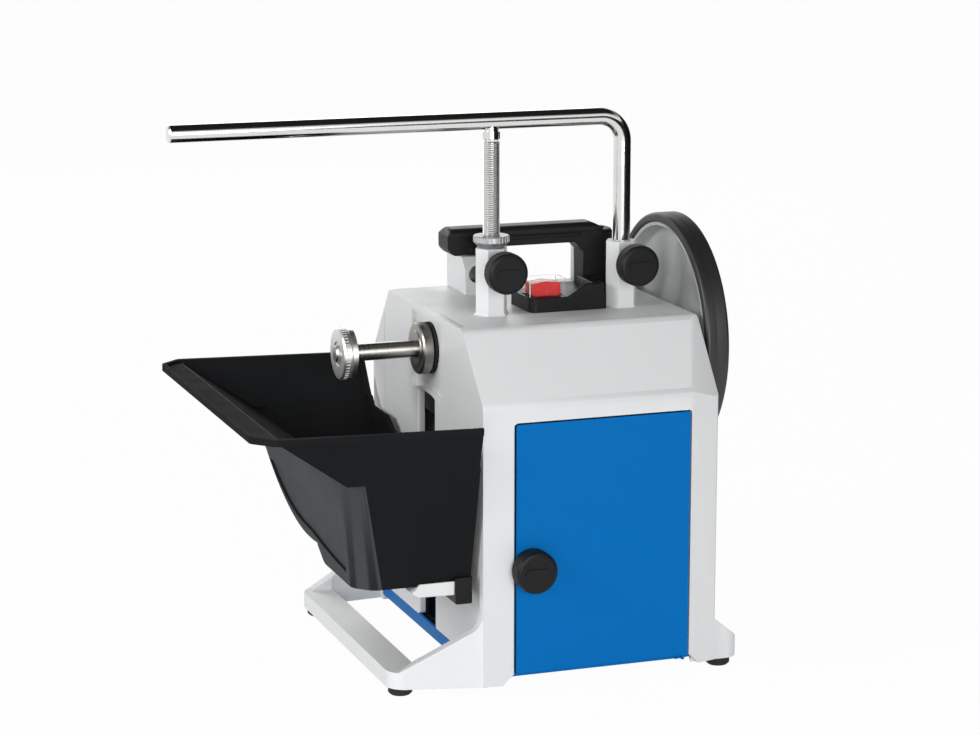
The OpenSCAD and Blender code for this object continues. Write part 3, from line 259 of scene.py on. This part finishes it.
def metal(name, colour, rough, scale, depth, strength, vary, turned):
    """Metal with fine marks, along one direction or round the shaft."""
    m, t, b = shader(name)
    c = object_coord(t)
    way = round_shaft(t, c, *scale) if turned else stretched(t, c, scale)
    marks = noise(t, way, 1.0, 5.0, 0.6)
    links(
        t,
        (tones(t, noise(t, c, 25.0), colour, vary), b.inputs["Base Color"]),
        (spread(t, marks, rough * 0.8, rough * 1.25), b.inputs["Roughness"]),
        (bump(t, marks, strength, depth), b.inputs["Normal"]),
    )
    b.inputs["Metallic"].default_value = 1.0
    return m


def clear(name, alpha, tint):
    """Thin clear moulding: mostly see-through, glossy, with faint flow marks."""
    m, t, b = shader(name)
    c = object_coord(t)
    b.inputs["Alpha"].default_value = alpha
    links(
        t,
        (tones(t, noise(t, c, 40.0), tint, 0.04), b.inputs["Base Color"]),
        (spread(t, noise(t, c, 60.0), 0.06, 0.14), b.inputs["Roughness"]),
        (bump(t, noise(t, c, 120.0, 2.0), 0.08, 0.0001), b.inputs["Normal"]),
    )
    return m


MOULDED = {
    # colour, roughness, then the grain's scale, depth and strength, tone drift, specular level
    "housing_grey": ((0.695, 0.706, 0.712), 0.40, 1500.0, 0.00005, 0.16, 0.02, 0.4),
    "cast_grey": ((0.680, 0.690, 0.696), 0.42, 800.0, 0.00014, 0.22, 0.03, 0.4),
    "blue_steel": ((0.0003, 0.138, 0.435), 0.42, 520.0, 0.00004, 0.12, 0.03, 0.06),
    "black_plastic": ((0.0080, 0.0083, 0.0092), 0.42, 1500.0, 0.00012, 0.35, 0.12, 0.16),
    "trough_black": ((0.0135, 0.0141, 0.0150), 0.50, 1700.0, 0.00010, 0.30, 0.12, 0.004),
    # the trough's grain is real; its lighter colour is painted sheen on the left side and painted
    # highlight on the lip edges
    "trough_grain": ((0.050, 0.056, 0.058), 0.60, 1300.0, 0.00016, 0.45, 0.10, 0.03),
    "black_rubber": ((0.011, 0.011, 0.0112), 0.70, 1100.0, 0.00015, 0.40, 0.15, 0.3),
    "honing_black": ((0.0190, 0.0193, 0.0205), 0.42, 900.0, 0.00020, 0.45, 0.18, 0.5),
    "wheel_grey": ((0.50, 0.525, 0.515), 0.48, 900.0, 0.00012, 0.30, 0.05, 0.4),
    # near-black colour painted on the bore walls as painted shade
    "bore_grey": ((0.030, 0.031, 0.032), 0.50, 700.0, 0.0001, 0.30, 0.08, 0.3),
    "white_plastic": ((0.72, 0.73, 0.73), 0.42, 1100.0, 0.00008, 0.20, 0.03, 0.5),
    "red_plastic": ((0.66, 0.012, 0.009), 0.30, 300.0, 0.00004, 0.10, 0.05, 0.3),
    "bush_plastic": ((0.62, 0.60, 0.52), 0.45, 700.0, 0.0001, 0.20, 0.05, 0.5),
    "motor_steel": ((0.16, 0.17, 0.175), 0.45, 600.0, 0.0001, 0.25, 0.08, 0.5),
}
METAL = {
    # colour, roughness, then the marks' scale, depth and strength, tone drift, turned or not
    "bright_steel": ((0.74, 0.735, 0.72), 0.13, (40.0, 900.0, 900.0), 0.00002, 0.10, 0.07, False),
    "shaft_steel": ((0.52, 0.505, 0.475), 0.29, (900.0, 200.0), 0.00001, 0.10, 0.05, True),
    "turned_zinc": ((0.29, 0.28, 0.26), 0.33, (500.0, 1300.0), 0.00002, 0.15, 0.06, True),
    "bright_zinc": ((0.78, 0.78, 0.76), 0.38, (500.0, 1300.0), 0.00002, 0.12, 0.04, True),
    "nut_zinc": ((0.40, 0.41, 0.42), 0.44, (900.0, 900.0, 900.0), 0.00012, 0.6, 0.07, False),
    "motor_alloy": ((0.50, 0.51, 0.52), 0.42, (300.0, 300.0, 300.0), 0.00008, 0.35, 0.07, False),
}
CLEAR = {
    # opacity, tint
    "clear_plastic": (0.02, (0.80, 0.81, 0.82)),
    # near-opaque whitish colour painted on the cover's edges as painted highlight
    "clear_rim": (0.70, (0.86, 0.87, 0.88)),
}
MAT = {}
for make, rows in ((moulded, MOULDED), (metal, METAL), (clear, CLEAR)):
    MAT.update({name: make(name, *row) for name, row in rows.items()})

# Nodes whose finish differs from the rest of their slot
FINISH = {
    "water_trough": "trough_black", "main_shaft": "shaft_steel", "micro_nut": "nut_zinc",
    "lock_nut": "bright_zinc", "hinge_pins": "blue_steel",
}


def finish_of(node):
    return MAT[FINISH.get(node, slot_of[node])]


def dress_with(obj, material):
    obj.data.materials.clear()
    obj.data.materials.append(material)


# Pieces with rounded edges

def room_beside(e):
    """Width that is free on both faces beside an edge."""
    a, b = e.verts
    line = b.co - a.co
    size = line.length
    line = line / size
    room = 1.0
    for loop in e.link_loops:
        f = loop.face
        inward = f.normal.cross(line if loop.vert is a else -line)
        for v in f.verts:
            if v is a or v is b:
                continue
            along = min(max((v.co - a.co).dot(line), 0.0), size)
            off = v.co - (a.co + line * along)
            wide = off.dot(inward)
            if wide > INTO_FACE * off.length:
                room = min(room, wide)
    return room


def in_deck_joint(v):
    """True on the hairline joint between the deck and the plate let into it."""
    x, y, z = v.co
    in_plate = abs(x - BODY_X) < PLATE[0] and abs(y) < PLATE[1]
    return abs(z - DECK_Z) < LEVEL_SLACK and in_plate


def runs_of(wanted):
    """Edges joined end to end into runs."""
    left = set(wanted)
    runs = []

    def goes_on(e, v, way):
        return e in left and (e.other_vert(v).co - v.co).normalized().dot(way) > STRAIGHT

    for start in wanted:
        if start not in left:
            continue
        left.discard(start)
        run = [start]
        for v in start.verts:
            e = start
            while True:
                way = (v.co - e.other_vert(v).co).normalized()
                more = [n for n in v.link_edges if goes_on(n, v, way)]
                if len(more) != 1:
                    break
                e = more[0]
                left.discard(e)
                v = e.other_vert(v)
                run.append(e)
        runs.append(run)
    return runs


def edges_on(bm, spans):
    """Edges that lie on the given spans of the first mesh."""
    edges = list(bm.edges)
    ends = np.array([[*e.verts[0].co, *e.verts[1].co] for e in edges])
    found = []
    for a, b in spans:
        size = np.linalg.norm(b - a)
        way = (b - a) / size
        on = np.ones(len(ends), bool)
        for k in (0, 3):
            off = ends[:, k:k + 3] - a
            t = off @ way
            on &= (t > -END_SLACK) & (t < size + END_SLACK)
            on &= np.linalg.norm(off - t[:, None] * way, axis=1) < LINE_SLACK
        found += [edges[i] for i in np.nonzero(on)[0]]
    return found


def is_corner(e):
    return e.calc_face_angle() > SHARP and room_beside(e) > CORNER_ROOM


def is_roll(e):
    soft = ROLL < e.calc_face_angle() <= SHARP
    return soft and e.calc_length() > ROLL_LENGTH and room_beside(e) > ROLL_ROOM


def round_edges(bm, width, low_width, index):
    """Round the outer edges run by run, each as far as its own room allows."""
    outer = [
        e for e in bm.edges
        if len(e.link_faces) == 2 and e.is_convex and not all(in_deck_joint(v) for v in e.verts)
    ]
    jobs = []
    for wanted in (is_roll, is_corner):
        for run in runs_of([e for e in outer if wanted(e)]):
            size = sum(e.calc_length() for e in run)
            if size <= SHORTEST_RUN:
                continue
            wide = ROLL_WIDTH
            if wanted is is_corner:
                low = all(v.co.z < TANK_TOP for e in run for v in e.verts)
                room = min(room_beside(e) for e in run)
                wide = min(low_width if low else width, ROOM_SHARE * room)
            jobs.append((wide, size, [[np.array(v.co) for v in e.verts] for e in run]))
    for wide, size, spans in sorted(jobs, key=lambda job: (-job[0], -job[1])):
        edges = edges_on(bm, spans)
        if edges:
            bmesh.ops.bevel(
                bm, geom=edges + list({v for e in edges for v in e.verts}),
                offset=wide, offset_type="OFFSET", segments=SEGMENTS, profile=0.5,
                affect="EDGES", clamp_overlap=True, loop_slide=True, material=index,
            )


def cut_level(bm, z, **options):
    everything = bm.verts[:] + bm.edges[:] + bm.faces[:]
    return bmesh.ops.bisect_plane(
        bm, geom=everything, plane_co=(0, 0, z), plane_no=(0, 0, 1), **options,
    )


def trimmed(bm):
    """Cut a closed mesh off level with the switch's top and close the cut."""
    cut = cut_level(bm, SWITCH_TOP, clear_outer=True)["geom_cut"]
    bmesh.ops.holes_fill(bm, edges=[g for g in cut if isinstance(g, bmesh.types.BMEdge)])


def panelled(bm):
    """Grained outer left side of the trough, with a sunk field below its plain band; its
    left-facing faces get a lighter colour as painted sheen, and the lip's rounded edges as
    painted highlight lines.
    """
    bm.normal_update()
    side = [f for f in bm.faces if f.normal.x < -0.9 and f.calc_center_median().x < TANK_LEFT]
    panel = max(side, key=lambda f: f.calc_area())
    n, on = panel.normal.copy(), panel.verts[0].co.copy()
    rim = panel.edges[:]
    mid_y, mid_z = (sum(c) / len(FIELD) for c in zip(*FIELD))
    bmesh.ops.delete(bm, geom=[panel], context="FACES_ONLY")
    rings = []
    for scale, deep in ((1.0, 0.0), (FIELD_FLOOR, FIELD_DEEP)):
        ring = []
        for y, z in FIELD:
            y, z = mid_y + (y - mid_y) * scale, mid_z + (z - mid_z) * scale
            x = on.x - ((y - on.y) * n.y + (z - on.z) * n.z) / n.x
            ring.append(bm.verts.new(Vector((x, y, z)) - n * deep))
        rings.append(ring)
    outer, inner = rings
    turn = list(range(1, len(FIELD))) + [0]
    ring_edges = [bm.edges.new((outer[i], outer[k])) for i, k in enumerate(turn)]
    bmesh.ops.triangle_fill(
        bm, edges=rim + ring_edges, use_beauty=True, use_dissolve=False, normal=n,
    )
    for i, k in enumerate(turn):
        bm.faces.new((outer[i], outer[k], inner[k], inner[i]))
    bm.faces.new(inner)
    bmesh.ops.recalc_face_normals(bm, faces=bm.faces[:])
    bm.normal_update()
    for f in bm.faces:
        mid = f.calc_center_median()
        faces_left = f.normal.x < -0.35 and f.normal.z < 0.1
        left = faces_left and mid.x < TANK_LEFT and mid.z < TANK_TOP
        lip = f.material_index == 1 and mid.z > LIP
        # left-facing faces below the tray take the lighter colour as painted sheen, lip bevels as
        # painted highlight lines
        f.material_index = 1 if left or lip else 0


def bored(bm):
    """Painted shade: a near-black colour on the walls of the two bores in the rear sleeve blocks.
    """
    bm.normal_update()
    for f in bm.faces:
        mid = f.calc_center_median()
        near = min(math.hypot(mid.x - x, mid.z - JIG_Z) for x in JIG_X)
        wall = near < BORE_REACH and abs(f.normal.y) < 0.1 and mid.y > 0
        f.material_index = 1 if wall else 0


def rimmed(bm):
    """Painted highlight lines on a clear moulding, down its corners and round its top edge."""
    top = max(v.co.z for v in bm.verts) - RIM
    cut_level(bm, top)
    bm.normal_update()
    for f in bm.faces:
        corner = min(abs(f.normal.x), abs(f.normal.y)) > 0.63
        edge = f.calc_center_median().z > top + END_SLACK and abs(f.normal.z) < 0.5
        f.material_index = 1 if corner or edge else 0


def softened(node, width, second=None, shape=None, low_width=None):
    """A copy of a solid with rounded edges, standing for it.

    second names the material of index 1, shape works on the mesh after the
    rounding, and low_width is the width below the drip tray.
    """
    me = nodes[node].data.copy()
    me.materials.clear()
    me.materials.append(finish_of(node))
    if second:
        me.materials.append(MAT[second])
    bm = bmesh.new()
    bm.from_mesh(me)
    bmesh.ops.remove_doubles(bm, verts=bm.verts, dist=WELD)
    bmesh.ops.dissolve_limit(
        bm, angle_limit=FLAT, use_dissolve_boundaries=False,
        verts=bm.verts, edges=bm.edges,
    )
    bm.normal_update()
    if width:
        round_edges(bm, width, low_width or width, 1 if second else 0)
    if shape:
        shape(bm)
    bm.to_mesh(me)
    bm.free()
    me.shade_smooth()
    me.set_sharp_from_angle(angle=SHARP)
    ob = bpy.data.objects.new(node + "_skin", me)
    bpy.context.collection.objects.link(ob)
    even = ob.modifiers.new("normals", "WEIGHTED_NORMAL")
    even.keep_sharp = True
    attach(ob, body_of[node])
    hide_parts(node)


for name, ob in nodes.items():
    dress_with(ob, finish_of(name))

EDGES = {
    "housing": 0.0020, "door_panel": 0.0005, "handle": 0.0016, "switch_housing": 0.0010,
    "carrier_bar": 0.0010, "carrier_arms": 0.0008, "chassis": 0.0004, "wheel_core": 0.0008,
    "wheel_tread": 0.0010, "rocker": 0.0006,
}
for name, width in EDGES.items():
    softened(name, width)
# the top casting's second material is painted shade inside its two bores
softened("top_casting", 0.0010, "bore_grey", bored)
# the trough's second material paints sheen on its left side and highlight lines on its lip
softened("water_trough", 0.0028, "trough_grain", panelled, 0.0055)
# the clear cover's second material paints highlight lines on its corners and top edge
softened("switch_cover", 0, "clear_rim", rimmed)
softened("contact_block", 0, None, trimmed)


# Floor, light and camera

def seen_directly(t):
    """1 for rays that show the background: camera, mirror and glass."""
    path = t.nodes.new("ShaderNodeLightPath").outputs
    some = math_node(t, "ADD", path["Is Camera Ray"], path["Is Glossy Ray"], True)
    return math_node(t, "ADD", some, path["Is Transmission Ray"], True)


def matte(name, grey, rough):
    m, t, b = shader(name)
    b.inputs["Base Color"].default_value = (grey, grey, grey, 1)
    b.inputs["Roughness"].default_value = rough
    b.inputs["Specular IOR Level"].default_value = 0.0
    return m, t, b


def sheet(name, points, faces, material):
    me = bpy.data.meshes.new(name)
    me.from_pydata(points, [], faces)
    ob = bpy.data.objects.new(name, me)
    bpy.context.collection.objects.link(ob)
    dress_with(ob, material)
    return ob


def floor():
    m, t, b = matte("floor", FLOOR_GREY, 0.9)
    glow = t.nodes.new("ShaderNodeEmission")
    glow.inputs["Strength"].default_value = 1.0
    both = t.nodes.new("ShaderNodeMixShader")
    links(
        t,
        (math_node(t, "MULTIPLY", seen_directly(t), FLOOR_SEEN), both.inputs["Fac"]),
        (b.outputs[0], both.inputs[1]),
        (glow.outputs[0], both.inputs[2]),
        (both.outputs[0], t.nodes["Material Output"].inputs["Surface"]),
    )
    s = FLOOR_HALF
    ob = sheet("floor", [(-s, -s, 0), (s, -s, 0), (s, s, 0), (-s, s, 0)], [(0, 1, 2, 3)], m)


def world():
    w = bpy.data.worlds.new("studio")
    bpy.context.scene.world = w
    w.use_nodes = True
    t = w.node_tree
    sep = t.nodes.new("ShaderNodeSeparateXYZ")
    links(t, (t.nodes.new("ShaderNodeTexCoord").outputs["Generated"], sep.inputs[0]))
    up = sep.outputs["Z"]
    across = math_node(t, "MULTIPLY", math_node(t, "ADD", sep.outputs["X"], 1.0), 0.5)
    shaded = t.nodes.new("ShaderNodeVectorMath")
    shaded.operation = "MULTIPLY"
    mix = t.nodes.new("ShaderNodeMix")
    mix.data_type = "RGBA"
    colours = [s for s in mix.inputs if s.type == "RGBA"]
    mixed = [s for s in mix.outputs if s.type == "RGBA"][0]
    links(
        t,
        (grey_ramp(t, up, SKY_LIGHT), shaded.inputs[0]),
        (grey_ramp(t, across, SIDE_SHADE), shaded.inputs[1]),
        (seen_directly(t), mix.inputs[0]),
        (shaded.outputs[0], colours[0]),
        (grey_ramp(t, up, SKY_SEEN), colours[1]),
        (mixed, t.nodes["Background"].inputs["Color"]),
    )
    t.nodes["Background"].inputs["Strength"].default_value = 1.0


def lamp(name, place, aim, size, power):
    d = bpy.data.lights.new(name, "AREA")
    d.shape = "RECTANGLE"
    d.size, d.size_y = size
    d.energy = power
    o = bpy.data.objects.new(name, d)
    o.location = place
    o.rotation_euler = (Vector(aim) - Vector(place)).to_track_quat("-Z", "Y").to_euler()
    o.visible_camera = False
    bpy.context.collection.objects.link(o)


def dark_card():
    """Folded black card that only polished surfaces mirror."""
    n = len(CARD)
    points = [(x, y, 0) for x, y, _ in CARD] + CARD
    faces = [(i, i + 1, n + i + 1, n + i) for i in range(n - 1)]
    ob = sheet("dark_card", points, faces, matte("dark_card", CARD_GREY, 1.0)[0])
    ob.visible_camera = ob.visible_diffuse = False
    ob.visible_shadow = ob.visible_transmission = False


def camera():
    c = bpy.data.cameras.new("camera")
    c.sensor_fit = "HORIZONTAL"
    c.sensor_width = SENSOR
    c.lens = FOCAL_PIXELS / PHOTO_WIDTH * SENSOR
    c.clip_end = CAMERA_END
    o = bpy.data.objects.new("camera", c)
    a, e = CAMERA_AZIMUTH, CAMERA_HEIGHT
    back = Vector((math.sin(a) * math.cos(e), -math.cos(a) * math.cos(e), math.sin(e)))
    o.location = CAMERA_PLACE
    o.rotation_euler = back.to_track_quat("Z", "Y").to_euler()
    bpy.context.collection.objects.link(o)
    bpy.context.scene.camera = o


floor()
world()
for name, (place, aim, size, power) in LAMPS.items():
    lamp(name, place, aim, size, power)
dark_card()
camera()
bpy.context.scene.view_settings.view_transform = "Standard"
